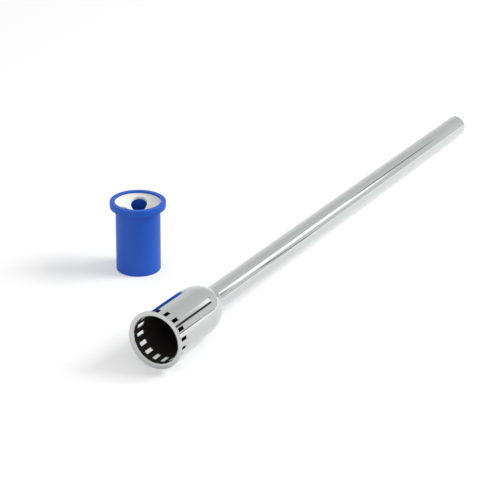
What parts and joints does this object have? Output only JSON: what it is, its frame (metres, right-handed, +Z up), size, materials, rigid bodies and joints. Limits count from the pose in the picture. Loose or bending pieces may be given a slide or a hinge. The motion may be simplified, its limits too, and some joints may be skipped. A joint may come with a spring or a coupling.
{
  "type": "vacuum breaker tube",
  "caption": "Chromed flush tube whose belled, windowed top end has a flared rim, with its blue rubber vacuum breaker insert and ported white cone standing beside it.",
  "frame": {"origin": "on the floor, under the middle of the box that holds the lying tube and the standing insert", "axes": "+X along the lying tube from the bell's mouth to the outlet end, seen from above; +Y from the tube towards the insert; +Z up"},
  "size_m": [0.534, 0.1442, 0.058],
  "materials": {
    "chromed_brass": "polished chrome plate outside, darker unpolished plate inside the bell",
    "blue_rubber": "satin moulded rubber",
    "white_plastic": "satin moulded plastic"
  },
  "bodies": {
    "root": {"flush_tube": "chromed_brass", "rubber_sleeve": "blue_rubber", "port_cone": "white_plastic"}
  },
  "joints": []
}
